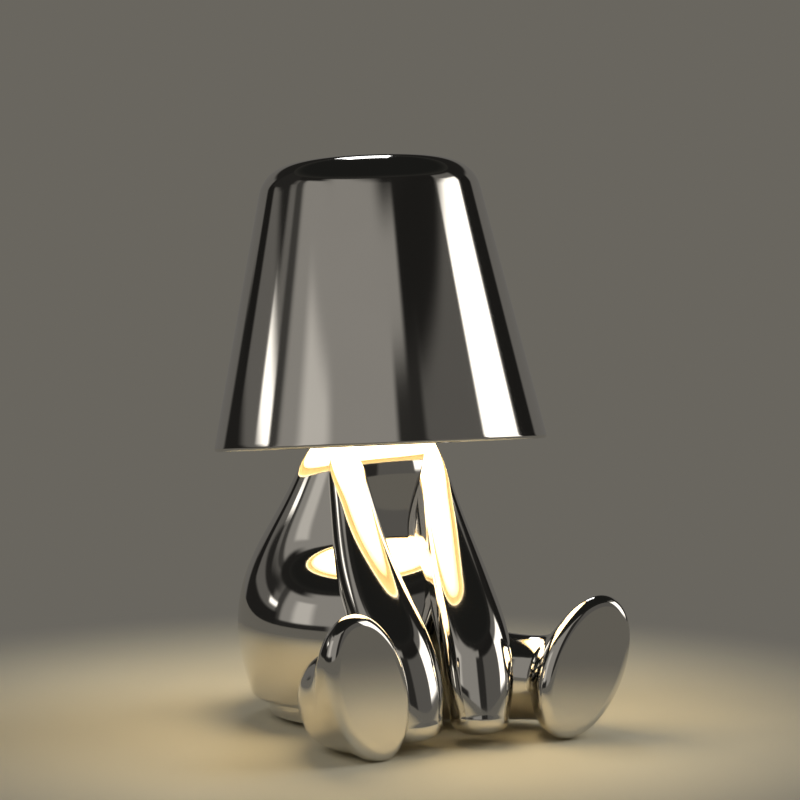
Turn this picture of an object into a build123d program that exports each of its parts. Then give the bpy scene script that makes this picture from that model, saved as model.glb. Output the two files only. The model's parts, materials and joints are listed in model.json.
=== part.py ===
from build123d import *
import os
from math import cos, radians, sin, tan

# Cordless table lamp: a chromed seated figure whose head is a tapered lamp shade.
# Millimetres and degrees. +Z is up, the figure faces -Y and its right side is -X.
# The origin is on the table, at the centre of the rubber base pad.

# Torso, a pear of stacked ellipses: height, half width, half depth and shift in Y of each ring
torso_foot_z, torso_foot_radius = 1.5, 30.0
torso_shelf_top_z = 10.0
room_above_cell = 19.0
crown_wall = 4.0
torso_wall = 3.2
skirt_z, skirt_half_width, skirt_half_depth, skirt_edge_radius = 7.0, 35.5, 34.6, 1.5
hip_z, hip_half_width, hip_half_depth = 24.0, 39.6, 38.6
lap_z, lap_half_width, lap_half_depth, lap_shift = 45.0, 38.4, 31.5, 0.8
waist_drop, waist_half_width, waist_half_depth, waist_shift = 34.0, 33.4, 24.5, 0.3
chest_drop, chest_half_width, chest_half_depth, chest_shift = 22.0, 28.0, 19.8, -2.9
shoulder_drop, shoulder_half_width, shoulder_half_depth, shoulder_shift = 13.0, 24.6, 17.2, -5.5
crown_half_width, crown_half_depth, crown_shift, crown_edge_radius = 20.4, 14.7, -8.2, 7.0
# Belly, an ellipsoid that stands out of the front of the pear below the waist
belly_y, belly_middle_z = -7.0, 32.0
belly_half_width, belly_half_depth, belly_half_height = 39.6, 32.0, 31.0

# Arms: distance from the middle, Y, height, half width and half depth
arm_rows = [
    (13.0, -12.0, 88.0, 4.8, 4.7),
    (14.0, -16.6, 80.0, 5.8, 5.7),
    (14.7, -22.6, 67.5, 7.1, 7.0),
    (15.0, -30.0, 54.0, 9.0, 8.3),
    (14.5, -39.2, 41.0, 10.7, 9.2),
    (13.2, -48.8, 28.5, 11.3, 9.5),
    (11.9, -54.2, 15.5, 10.6, 9.0),
    (11.3, -55.6, 8.0, 9.0, 8.5),
    (11.1, -56.2, 2.6, 4.7, 4.6),
]

# Legs: a round thigh that swells into an upright foot with a flat sole facing the front.
# The left leg is a little longer than the right, whose foot is turned a little towards the middle.
hip_joint_x, hip_joint_y = 12.5, -19.0
leg_z = 15.3
hip_section_half_width, hip_section_half_height = 13.2, 14.4
knee_half_width, knee_half_height = 10.8, 14.2
right_sole_x, right_sole_y, right_roll, right_turn = -30.4, -67.2, -20.0, 12.0
left_sole_x, left_sole_y, left_roll, left_turn = 43.2, -66.5, 26.0, 0.0
sole_edge_radius = 3.3
# Foot rings: distance behind the sole, height of the centre, half width, half height, share of the roll
foot_rows = [
    (20.0, 15.6, 9.6, 14.2, 0.3),
    (14.5, 17.2, 11.4, 16.4, 0.6),
    (9.0, 19.8, 13.2, 20.0, 1.0),
    (4.5, 21.5, 14.0, 22.8, 1.0),
    (0.0, 21.5, 14.0, 22.8, 1.0),
]
limb_clearance = 0.3

# Limb fastenings: one screw from inside the torso and one dowel for each limb
limb_boss_radius = 4.5
limb_boss_depth = 3.0
limb_screw_radius = 1.5
limb_screw_head_radius = 2.75
limb_screw_head_height = 2.0
limb_screw_grip = 5.0
limb_hole_clearance = 0.2
dowel_radius = 1.5
dowel_grip = 4.0
dowel_in_wall = 2.0
arm_screw_z, arm_dowel_drop = 62.0, 12.0
leg_dowel_rise = 9.0

# Base: cover, pad and their screws
cover_radius = 26.0
cover_thickness = 3.0
cover_clearance = 0.25
shelf_opening_radius = 20.5
pad_radius = 20.0
pad_thickness = 2.0
base_screw_circle = 23.3
base_screw_count = 3
base_screw_radius = 1.25
base_screw_head_radius = 2.2
base_screw_head_height = 1.6

# Battery: a round lithium cell standing in a cradle, with a contact cap on top
cell_radius, cell_length = 9.15, 65.0
cell_y = -5.0
cradle_floor = 2.0
cradle_flange_radius = 14.5
cradle_cup_height = 20.0
cradle_clearance = 0.25
cradle_wall = 2.0
cradle_screw_circle = 13.0
cradle_screw_radius = 1.0
cradle_screw_head_radius = 1.4
cradle_screw_head_height = 1.2
cradle_screw_grip = 1.8
cap_clearance = 0.15
cap_wall = 1.5
cap_overlap = 6.0

# Charging board in the back of the torso, with its socket, switch and push button
board_half_width, board_low_z, board_high_z = 12.5, 10.5, 34.5
board_thickness = 1.6
board_boss_radius, board_boss_x, board_boss_z = 3.0, 9.5, 20.5
board_screw_radius, board_screw_head_radius, board_screw_head_height = 1.0, 1.9, 1.4
board_screw_grip = 6.0
lead_header_half_width, lead_header_depth, lead_header_height = 9.0, 5.0, 6.0
port_z = 14.0
port_width, port_height = 9.0, 3.2
port_wall, port_depth = 0.4, 6.5
port_tongue_width, port_tongue_thickness, port_tongue_length = 6.6, 0.7, 5.5
port_clearance = 0.2
port_recess = 0.6
switch_side, switch_height = 6.0, 3.5
switch_stem_radius, switch_stem_height = 1.7, 1.3
button_z = 27.0
button_radius = 4.5
button_running_clearance = 0.08
button_proud = 1.0
button_travel = 1.2
button_flange_radius, button_flange_thickness = 5.8, 1.2
button_end_play = 0.1
button_stem_gap = 0.5
bezel_flange_radius, bezel_flange_thickness = 7.8, 0.8
bezel_sleeve_radius, bezel_sleeve_length = 6.5, 6.0

# Neck and swivel: the shade turns on the neck tube and tilts on a cross pin
neck_y = -10.5
neck_radius, neck_bore_radius = 5.0, 3.0
neck_hole_clearance = 0.1
neck_nut_flats, neck_nut_height = 13.0, 4.0
neck_tube_below_nut = 1.0
collar_radius, collar_thickness = 8.5, 1.5
swivel_running_clearance = 0.05
swivel_end_play = 0.1
swivel_radius, swivel_floor_height = 10.0, 4.4
swivel_cup_radius, swivel_cup_height = 7.2, 2.0
clip_radius, clip_thickness = 6.6, 1.0
neck_tube_above_clip = 0.4
pivot_rise = 13.0
ear_gap_half, ear_thickness, ear_half_depth, ear_above_pivot = 5.3, 3.1, 5.0, 5.0
pin_radius, pin_head_radius, pin_head_height = 2.0, 3.4, 1.6
pin_running_clearance = 0.05
pin_nut_flats, pin_nut_height = 6.0, 2.0
washer_radius, washer_thickness = 4.2, 0.5
tongue_radius = 4.2

# Shade and lamp, measured up the shade's own axis from the plane of its mouth
shade_lean = 5.4
rim_drop = 18.0
shade_mouth_radius, shade_top_radius, shade_height = 52.3, 32.9, 88.5
shade_fillet = 11.0
shade_wall = 1.6
diffuser_low, diffuser_thickness = 8.0, 2.0
diffuser_hole_radius = 14.0
diffuser_edge_clearance = 0.3
ring_height, ring_width, ring_clearance = 2.5, 5.0, 0.1
head_flange_low, head_flange_thickness, head_flange_radius = 27.0, 2.5, 9.0
carrier_thickness, carrier_edge_gap = 2.5, 4.15
stem_radius, stem_above_nut = 4.5, 0.5
carrier_nut_flats, carrier_nut_height = 13.0, 3.5
led_board_thickness, led_board_screw_gap, led_board_clearance = 1.6, 6.0, 1.0
led_count, led_circle_radius = 10, 21.0
led_length, led_width, led_height = 3.5, 2.8, 0.7
liner_thickness, liner_collar_gap, liner_collar_drop = 1.2, 0.5, 2.5
liner_edge_clearance = 0.3
liner_seat = 0.1
shade_boss_count, shade_boss_inset, shade_boss_radius, shade_boss_height = 3, 3.5, 3.5, 12.0
shade_rib_thickness = 2.4
shade_screw_radius, shade_screw_head_radius, shade_screw_head_height = 1.5, 2.6, 1.8
shade_screw_grip = 8.0

# Leads
lead_radius = 0.6
battery_lead_x, lamp_lead_x, neck_lead_x = 3.0, 6.0, 1.3
cap_lead_run, cap_lead_gap = 6.0, 2.5
header_lead_run, neck_lead_run = 12.0, 4.0

# A bend takes this share of the shorter run beside it
lead_bend_share = 0.45

UP = (Align.CENTER, Align.CENTER, Align.MIN)
FAR = 200.0
NEEDLE_RADIUS = 0.02


def post(radius, low, high):
    return Pos(0, 0, low) * Cylinder(radius, high - low, align=UP)


def tube(outer, inner, low, high):
    return post(outer, low, high) - post(inner, low, high)


def hex_nut(flats, bore, low, high):
    outline = RegularPolygon(flats / 2, 6, major_radius=False)
    return Pos(0, 0, low) * extrude(outline, high - low) - post(bore, low, high)


def along(start, direction):
    # A frame whose own Z runs from the start point in the given direction
    return Plane(origin=start, z_dir=direction)


def backwards(x, y, z):
    # A frame whose own Z points to the back of the lamp
    return Plane(origin=(x, y, z), x_dir=(1, 0, 0), z_dir=(0, 1, 0))


def leaves_at(body, frame):
    # Distance from the frame's origin, along its Z, to the place where a fine needle leaves the body
    needle = frame * Cylinder(NEEDLE_RADIUS, FAR, align=UP)
    first = min((body & needle).solids(), key=lambda s: frame.to_local_coords(s.center()).Z)
    local = frame.to_local_coords(first)
    return local.bounding_box().max.Z


def largest(shape):
    return max(shape.solids(), key=lambda s: s.volume)


def around(count, radius):
    return [Rot(Z=360 * i / count) * Pos(radius, 0, 0) for i in range(count)]


parts = {}

# Heights that follow from the cell standing in the torso
cover_top_z = torso_foot_z + cover_thickness
cell_low_z = cover_top_z + cradle_floor
cell_high_z = cell_low_z + cell_length
cap_top_z = cell_high_z + cap_wall
torso_top_z = cap_top_z + room_above_cell
crown_z = torso_top_z - crown_wall
pivot_z = torso_top_z + pivot_rise

# Torso: outer form, cavity and shelf
torso_rings = [
    (hip_z, hip_half_width, hip_half_depth, 0.0),
    (lap_z, lap_half_width, lap_half_depth, lap_shift),
    (torso_top_z - waist_drop, waist_half_width, waist_half_depth, waist_shift),
    (torso_top_z - chest_drop, chest_half_width, chest_half_depth, chest_shift),
    (torso_top_z - shoulder_drop, shoulder_half_width, shoulder_half_depth, shoulder_shift),
]


def torso_rings_between(low_z, high_z):
    skirt = (low_z, skirt_half_width, skirt_half_depth, 0.0)
    crown = (high_z, crown_half_width, crown_half_depth, crown_shift)
    return [skirt, *torso_rings, crown]


def stacked(rings, inset):
    return loft([Pos(0, y, z) * Ellipse(a - inset, b - inset) for z, a, b, y in rings])


pear = stacked(torso_rings_between(skirt_z, torso_top_z), 0.0)
pear = fillet(pear.edges().group_by(Axis.Z)[-1], crown_edge_radius)
pear = fillet(pear.edges().group_by(Axis.Z)[0], skirt_edge_radius)
belly = Pos(0, belly_y, belly_middle_z) * scale(
    Sphere(1), (belly_half_width, belly_half_depth, belly_half_height)
)
torso_form = pear + (belly - post(FAR, -FAR, skirt_z + skirt_edge_radius))
torso_form += post(torso_foot_radius, torso_foot_z, torso_shelf_top_z)
cavity = stacked(torso_rings_between(torso_shelf_top_z, crown_z), torso_wall)
below_table = Pos(0, 0, -FAR) * Box(2 * FAR, 2 * FAR, FAR, align=UP)
torso = torso_form - cavity
torso -= post(cover_radius + cover_clearance, torso_foot_z, cover_top_z)
torso -= post(shelf_opening_radius, cover_top_z, torso_shelf_top_z)


# Limbs
def arm_form(side, grow):
    points = [Vector(side * x, y, z) for x, y, z, a, b in arm_rows]
    sections = []
    for i, (a, b) in enumerate(row[-2:] for row in arm_rows):
        heading = points[min(i + 1, len(points) - 1)] - points[max(i - 1, 0)]
        heading = heading.normalized()
        across = Vector(1, 0, 0) - heading * heading.X
        frame = Plane(origin=points[i], x_dir=across, z_dir=heading)
        sections.append(frame * Ellipse(a + grow, b + grow))
    return loft(sections)


def leg_form(side, sole_x, sole_y, roll, foot_turn):
    hip = Vector(side * hip_joint_x, hip_joint_y, leg_z)
    forwards = Vector(sin(radians(foot_turn)), -cos(radians(foot_turn)), 0)
    back, ankle_z = foot_rows[0][:2]
    ankle = Vector(sole_x, sole_y, ankle_z) - forwards * back
    leg_line = along(hip, ankle - hip)
    knee = (hip + ankle) / 2
    thigh = Vector(leg_line.z_dir.X, leg_line.z_dir.Y, 0).normalized()
    turn = (thigh + forwards).normalized()
    rings = [
        (hip, thigh, hip_section_half_width, hip_section_half_height, 0),
        (knee, thigh, knee_half_width, knee_half_height, 0),
    ]
    for back, z, half_width, half_height, share in foot_rows:
        heading = turn if back == foot_rows[0][0] else forwards
        centre = Vector(sole_x, sole_y, z) - forwards * back
        rings.append((centre, heading, half_width, half_height, radians(roll) * share))
    sections = []
    for centre, heading, half_width, half_height, lean in rings:
        level = Vector(0, 0, 1).cross(heading)
        across = level * cos(lean) - Vector(0, 0, sin(lean))
        sections.append(Plane(origin=centre, x_dir=across, z_dir=heading) * Ellipse(half_width, half_height))
    ankle_ring = 2
    foot = loft(sections[ankle_ring:])
    sole = foot.faces().sort_by(Axis.Y)[0]
    foot = fillet(sole.edges(), sole_edge_radius)
    return foot + loft(sections[:ankle_ring + 1]), leg_line


right_arm = largest(arm_form(-1, 0.0) - torso_form - below_table)
left_arm = largest(arm_form(1, 0.0) - torso_form - below_table)
right_leg, right_leg_frame = leg_form(-1, right_sole_x, right_sole_y, right_roll, right_turn)
left_leg, left_leg_frame = leg_form(1, left_sole_x, left_sole_y, left_roll, left_turn)
# The legs end at the torso's foot ring and leave the space below it free
leg_limit = torso_form + post(torso_foot_radius, 0, torso_foot_z)
right_leg = largest(right_leg - leg_limit - arm_form(-1, limb_clearance) - below_table)
left_leg = largest(left_leg - leg_limit - arm_form(1, limb_clearance) - below_table)

# Limb fastenings: each limb has its frame, the shift to its dowel, and its own solid
arm_screw_x = arm_rows[2][0]
right_arm_frame = along((-arm_screw_x, cell_y, arm_screw_z), (0, -1, 0))
left_arm_frame = along((arm_screw_x, cell_y, arm_screw_z), (0, -1, 0))
limbs = {
    "right_arm": (right_arm, right_arm_frame, -arm_dowel_drop),
    "left_arm": (left_arm, left_arm_frame, -arm_dowel_drop),
    "right_leg": (right_leg, right_leg_frame, leg_dowel_rise),
    "left_leg": (left_leg, left_leg_frame, leg_dowel_rise),
}
limb_screws = []
limb_dowels = []
for name, (limb, frame, dowel_rise) in limbs.items():
    skin = leaves_at(torso_form, frame)
    seat = leaves_at(cavity, frame) - limb_boss_depth
    boss = frame * post(limb_boss_radius, seat, skin + limb_boss_radius)
    torso += boss & torso_form
    torso -= frame * post(limb_screw_radius + limb_hole_clearance, seat, skin + limb_boss_radius)
    screw = post(limb_screw_radius, seat, skin + limb_screw_grip)
    screw += post(limb_screw_head_radius, seat - limb_screw_head_height, seat)
    limb_screws.append(frame * screw)
    dowel_frame = Plane(origin=frame.origin + Vector(0, 0, dowel_rise), z_dir=frame.z_dir)
    dowel_skin = leaves_at(torso_form, dowel_frame)
    dowel = dowel_frame * post(dowel_radius, dowel_skin - dowel_in_wall, dowel_skin + dowel_grip)
    limb_dowels.append(dowel)
    torso -= dowel
    parts[name] = largest(limb - frame * screw - dowel)
parts["limb_screws"] = Compound(limb_screws)
parts["limb_dowels"] = Compound(limb_dowels)

# Base cover, pad and screws
cover = post(cover_radius, torso_foot_z, cover_top_z) - post(pad_radius, torso_foot_z, pad_thickness)
parts["base_pad"] = post(pad_radius, 0, pad_thickness)
base_screws = []
for spot in around(base_screw_count, base_screw_circle):
    screw = post(base_screw_head_radius, torso_foot_z, torso_foot_z + base_screw_head_height)
    screw += post(base_screw_radius, torso_foot_z, torso_shelf_top_z)
    base_screws.append(spot * screw)
    cover -= spot * screw
    torso -= spot * screw
parts["base_screws"] = Compound(base_screws)

# Battery cell in its cradle, screwed to the cover
cell_place = Pos(0, cell_y, 0)
cup_inner = cell_radius + cradle_clearance
cradle = post(cradle_flange_radius, cover_top_z, cell_low_z)
cradle += tube(cup_inner + cradle_wall, cup_inner, cell_low_z, cell_low_z + cradle_cup_height)
cradle_screws = []
for spot in around(2, cradle_screw_circle):
    screw = post(cradle_screw_radius, cover_top_z - cradle_screw_grip, cell_low_z)
    screw += post(cradle_screw_head_radius, cell_low_z, cell_low_z + cradle_screw_head_height)
    cradle_screws.append(cell_place * spot * screw)
    cradle -= spot * screw
    cover -= cell_place * spot * screw
parts["battery_cradle"] = cell_place * cradle
parts["cradle_screws"] = Compound(cradle_screws)
parts["base_cover"] = cover
parts["battery_cell"] = cell_place * post(cell_radius, cell_low_z, cell_high_z)
cap_radius = cell_radius + cap_clearance + cap_wall
cap = post(cap_radius, cell_high_z - cap_overlap, cap_top_z)
cap -= post(cell_radius + cap_clearance, cell_high_z - cap_overlap, cell_high_z)
parts["battery_cap"] = cell_place * cap

# Push button in its bezel, on a flat sunk into the lower back
back_line = backwards(0, 0, button_z)
bezel_seat_y = leaves_at(torso_form, back_line) - bezel_flange_thickness
bezel_inner_y = bezel_seat_y - bezel_sleeve_length
button_bore = button_radius + button_running_clearance
bezel = tube(bezel_flange_radius, button_bore, bezel_seat_y, bezel_seat_y + bezel_flange_thickness)
bezel += tube(bezel_sleeve_radius, button_bore, bezel_inner_y, bezel_seat_y)
parts["button_bezel"] = back_line * bezel
torso -= back_line * post(bezel_flange_radius, bezel_seat_y, FAR)
torso -= back_line * post(bezel_sleeve_radius, bezel_inner_y, FAR)
button_outer_y = bezel_seat_y + bezel_flange_thickness + button_proud
button_flange_y = bezel_inner_y - button_end_play
button_inner_y = button_flange_y - button_flange_thickness
button = post(button_radius, button_inner_y, button_outer_y)
button += post(button_flange_radius, button_inner_y, button_flange_y)
parts["power_button"] = back_line * button

# Charging board with switch, socket and lead header, on two bosses of the back wall
switch_tip_y = button_inner_y - button_travel - button_stem_gap
board_y = switch_tip_y - switch_stem_height - switch_height
switch_line = backwards(0, board_y, button_z)
switch = switch_line * Box(switch_side, switch_side, switch_height, align=UP)
switch += switch_line * post(switch_stem_radius, switch_height, switch_height + switch_stem_height)
parts["tact_switch"] = switch
board_middle_z = (board_low_z + board_high_z) / 2
board_front = backwards(0, board_y - board_thickness, board_middle_z)
board = board_front * Box(2 * board_half_width, board_high_z - board_low_z, board_thickness, align=UP)
header_y = board_y - board_thickness - lead_header_depth
header_top_z = board_high_z - board_thickness
header_line = backwards(0, header_y, header_top_z - lead_header_height / 2)
board += header_line * Box(2 * lead_header_half_width, lead_header_height, lead_header_depth, align=UP)
board_screws = []
for side in (-1, 1):
    boss_line = backwards(side * board_boss_x, board_y, board_boss_z)
    torso += boss_line * post(board_boss_radius, 0, FAR) & torso_form
    screw = post(board_screw_radius, -board_thickness, board_screw_grip)
    head_low = -board_thickness - board_screw_head_height
    screw += post(board_screw_head_radius, head_low, -board_thickness)
    board_screws.append(boss_line * screw)
    board -= boss_line * screw
    torso -= boss_line * screw
parts["charge_board"] = board
parts["board_screws"] = Compound(board_screws)

# Charging socket, its mouth in a small flat of the back wall
port_line = backwards(0, board_y, port_z)
port_mouth = leaves_at(torso_form, backwards(0, 0, port_z)) - port_recess - board_y


def port_slot(width, height, low, high):
    return Pos(0, 0, low) * extrude(SlotOverall(width, height), high - low)


socket = port_slot(port_width, port_height, 0, port_mouth)
socket -= port_slot(port_width - 2 * port_wall, port_height - 2 * port_wall, port_mouth - port_depth, port_mouth)
tongue_low = port_mouth - port_depth
socket += Pos(0, 0, tongue_low) * Box(port_tongue_width, port_tongue_thickness, port_tongue_length, align=UP)
parts["usb_socket"] = port_line * socket
slot_width = port_width + 2 * port_clearance
slot_height = port_height + 2 * port_clearance
torso -= port_line * port_slot(slot_width, slot_height, 0, FAR)

# Neck tube through the crown, with its nut below and collar above
neck_place = Pos(0, neck_y, 0)
torso -= neck_place * post(neck_radius + neck_hole_clearance, crown_z, torso_top_z)
collar_top_z = torso_top_z + collar_thickness
swivel_low_z = collar_top_z + swivel_end_play
swivel_floor_z = swivel_low_z + swivel_floor_height
clip_low_z = swivel_floor_z + swivel_end_play
clip_high_z = clip_low_z + clip_thickness
neck_top_z = clip_high_z + neck_tube_above_clip
neck_low_z = crown_z - neck_nut_height - neck_tube_below_nut
parts["neck_tube"] = neck_place * tube(neck_radius, neck_bore_radius, neck_low_z, neck_top_z)
parts["neck_nut"] = neck_place * hex_nut(neck_nut_flats, neck_radius, crown_z - neck_nut_height, crown_z)
parts["neck_collar"] = neck_place * tube(
    collar_radius, neck_radius + neck_hole_clearance, torso_top_z, collar_top_z
)
parts["retaining_clip"] = neck_place * tube(clip_radius, neck_radius, clip_low_z, clip_high_z)
parts["torso_casting"] = largest(torso)

# Swivel base: turns on the neck tube and carries the two ears of the tilt pivot
swivel_bore = neck_radius + swivel_running_clearance
swivel_cup_z = swivel_floor_z + swivel_cup_height
swivel = tube(swivel_radius, swivel_bore, swivel_low_z, swivel_floor_z)
swivel += tube(swivel_radius, swivel_cup_radius, swivel_floor_z, swivel_cup_z)
ear_top_z = pivot_z + ear_above_pivot
ear_outer_x = ear_gap_half + ear_thickness
ear_middle_x = ear_gap_half + ear_thickness / 2
pivot_line = Plane(origin=(0, 0, pivot_z), x_dir=(0, 1, 0), z_dir=(1, 0, 0))
ears = []
for side in (-1, 1):
    ear = Pos(side * ear_middle_x, 0, swivel_cup_z) * Box(
        ear_thickness, 2 * ear_half_depth, ear_top_z - swivel_cup_z, align=UP
    )
    ears.append(ear)
ear_root = Pos(0, 0, swivel_floor_z) * Box(
    2 * ear_outer_x, 2 * ear_half_depth, swivel_cup_height, align=UP
) - post(swivel_cup_radius, swivel_floor_z, swivel_cup_z)
swivel = swivel + ear_root + ears
swivel -= pivot_line * post(pin_radius, -FAR, FAR)
parts["swivel_base"] = neck_place * swivel

# Tilt pin, fixed in the ears, with its head and nut, and a friction washer at each ear
pin = post(pin_radius, -ear_outer_x, ear_outer_x + pin_nut_height)
pin += post(pin_head_radius, -ear_outer_x - pin_head_height, -ear_outer_x)
parts["swivel_pin"] = neck_place * (pivot_line * pin)
pin_nut = hex_nut(pin_nut_flats, pin_radius, ear_outer_x, ear_outer_x + pin_nut_height)
parts["pin_nut"] = neck_place * (pivot_line * pin_nut)
washers = [
    tube(washer_radius, pin_radius, side - washer_thickness / 2, side + washer_thickness / 2)
    for side in (washer_thickness / 2 - ear_gap_half, ear_gap_half - washer_thickness / 2)
]
parts["friction_washers"] = neck_place * (pivot_line * Compound(washers))

# Head frame: the shade's own axis leans back, and its origin is the centre of the mouth
lean = radians(shade_lean)
shade_axis = Vector(0, sin(lean), cos(lean))
pivot = Vector(0, neck_y, pivot_z)
head = Plane(origin=pivot - shade_axis * rim_drop, x_dir=(1, 0, 0), z_dir=shade_axis)

# Swivel head: a tongue on the pin, a flange and a threaded stem
tongue_half_width = ear_gap_half - washer_thickness
carrier_low = head_flange_low + head_flange_thickness
carrier_high = carrier_low + carrier_thickness
carrier_nut_high = carrier_high + carrier_nut_height
tongue_line = Plane(origin=(0, 0, rim_drop), x_dir=(0, 1, 0), z_dir=(1, 0, 0))
swivel_head = tongue_line * post(tongue_radius, -tongue_half_width, tongue_half_width)
swivel_head += Pos(0, 0, rim_drop) * Box(
    2 * tongue_half_width, 2 * tongue_radius, head_flange_low - rim_drop, align=UP
)
swivel_head += post(head_flange_radius, head_flange_low, carrier_low)
swivel_head += post(stem_radius, carrier_low, carrier_nut_high + stem_above_nut)
pin_hole_radius = pin_radius + pin_running_clearance
swivel_head -= tongue_line * post(pin_hole_radius, -tongue_half_width, tongue_half_width)
parts["swivel_head"] = head * swivel_head
parts["carrier_nut"] = head * hex_nut(carrier_nut_flats, stem_radius, carrier_high, carrier_nut_high)

# Shade: a tapered shell with a rounded top, three screw bosses and their ribs inside
taper = (shade_mouth_radius - shade_top_radius) / shade_height
wall_across = shade_wall * (1 + taper ** 2) ** 0.5


def shade_inside(height):
    return shade_mouth_radius - taper * height - wall_across


def shade_solid(bottom_radius, top_radius, height, corner):
    outline = make_face(Polyline((0, 0), (bottom_radius, 0), (top_radius, height), (0, height), close=True))
    edge = outline.vertices().sort_by(Axis.Y)[-2:].sort_by(Axis.X)[-1]
    outline = fillet(edge, corner)
    return revolve(Plane.XZ * outline, Axis.Z)


inner_height = shade_height - shade_wall
shade_form = shade_solid(shade_mouth_radius, shade_top_radius, shade_height, shade_fillet)
shade_room = shade_solid(
    shade_inside(0), shade_inside(inner_height), inner_height, shade_fillet - shade_wall
)
shade = shade_form - shade_room
boss_top = carrier_high + shade_boss_height
carrier_radius = shade_inside(carrier_high) - carrier_edge_gap
shade_boss_circle = carrier_radius - shade_boss_inset
rib_length = shade_inside(carrier_high) + shade_wall - shade_boss_circle
carrier = post(carrier_radius, carrier_low, carrier_high) - post(stem_radius, carrier_low, carrier_high)
shade_screws = []
for spot in around(shade_boss_count, shade_boss_circle):
    boss = post(shade_boss_radius, carrier_high, boss_top)
    boss += Pos(rib_length / 2, 0, carrier_high) * Box(
        rib_length, shade_rib_thickness, shade_boss_height, align=UP
    )
    shade += spot * boss & shade_form
    screw = post(shade_screw_radius, carrier_low, carrier_high + shade_screw_grip)
    screw += post(shade_screw_head_radius, carrier_low - shade_screw_head_height, carrier_low)
    shade_screws.append(spot * screw)
    shade -= spot * screw
    carrier -= spot * screw
parts["shade_shell"] = head * largest(shade)
parts["lamp_carrier"] = head * carrier
parts["shade_screws"] = head * Compound(shade_screws)

# Lamp: board and light chips under the carrier, white liner, opal diffuser and its ring
led_board_low = carrier_low - led_board_thickness
led_board_radius = shade_boss_circle - led_board_screw_gap
led_hole_radius = head_flange_radius + led_board_clearance
parts["led_board"] = head * tube(led_board_radius, led_hole_radius, led_board_low, carrier_low)
chips = [
    spot * Pos(0, 0, led_board_low - led_height) * Box(led_length, led_width, led_height, align=UP)
    for spot in around(led_count, led_circle_radius)
]
parts["led_chips"] = head * Compound(chips)
diffuser_high = diffuser_low + diffuser_thickness
diffuser_radius = shade_inside(diffuser_high) - diffuser_edge_clearance
parts["diffuser"] = head * tube(diffuser_radius, diffuser_hole_radius, diffuser_low, diffuser_high)
liner_low = diffuser_high + liner_seat
liner_edge = shade_inside(liner_low) - liner_edge_clearance
liner_collar = led_board_radius + liner_collar_gap
liner_knee = carrier_low - liner_collar_drop
liner = make_face(Polyline(
    (liner_collar, carrier_low),
    (liner_collar + liner_thickness, carrier_low),
    (liner_collar + liner_thickness, liner_knee),
    (liner_edge, liner_low),
    (liner_edge - 2 * liner_thickness, liner_low),
    (liner_collar, liner_knee),
    close=True,
))
parts["reflector_liner"] = head * revolve(Plane.XZ * liner, Axis.Z)
ring_low = diffuser_low - ring_height
ring_outer_low = shade_inside(ring_low) - ring_clearance
ring_outer_high = shade_inside(diffuser_low) - ring_clearance
ring = make_face(Polyline(
    (ring_outer_low, ring_low),
    (ring_outer_high, diffuser_low),
    (ring_outer_high - ring_width, diffuser_low),
    (ring_outer_high - ring_width, ring_low),
    close=True,
))
parts["diffuser_ring"] = head * revolve(Plane.XZ * ring, Axis.Z)


# Leads: each bend is as wide as its two runs allow
def lead(points):
    corners = [Vector(*p) for p in points]
    radii = []
    for before, here, after in zip(corners, corners[1:], corners[2:]):
        turn = (here - before).get_angle(after - here)
        shorter = min((here - before).length, (after - here).length)
        radii.append(lead_bend_share * shorter / tan(radians(turn) / 2))
    print("lead bend radii", [round(r, 1) for r in radii])
    path = FilletPolyline(*corners, radius=radii)
    section = Plane(origin=path @ 0, z_dir=path % 0) * Circle(lead_radius)
    return sweep(section, path)


header_mid_y = header_y + lead_header_depth / 2
cap_side_y = cell_y + cap_radius
cap_lead_z = cell_high_z - cap_overlap / 2
battery_leads = []
lamp_leads = []
for side in (-1, 1):
    battery_leads.append(lead([
        (side * battery_lead_x, cap_side_y, cap_lead_z),
        (side * battery_lead_x, cap_side_y + cap_lead_run, cap_lead_z),
        (side * battery_lead_x, header_mid_y, header_top_z + header_lead_run),
        (side * battery_lead_x, header_mid_y, header_top_z),
    ]))
    lamp_leads.append(lead([
        (side * lamp_lead_x, header_mid_y, header_top_z),
        (side * lamp_lead_x, header_mid_y, header_top_z + header_lead_run),
        (side * lamp_lead_x, cap_side_y + cap_lead_gap, cap_top_z + cap_lead_gap),
        (side * neck_lead_x, neck_y, neck_low_z - neck_lead_run),
        (side * neck_lead_x, neck_y, neck_top_z),
    ]))
parts["battery_leads"] = Compound(battery_leads)
parts["lamp_leads"] = Compound(lamp_leads)

os.makedirs("parts", exist_ok=True)
for name, shape in parts.items():
    export_step(shape, f"parts/{name}.step")
print(len(parts), "nodes written")
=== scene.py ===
import json
import math

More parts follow.
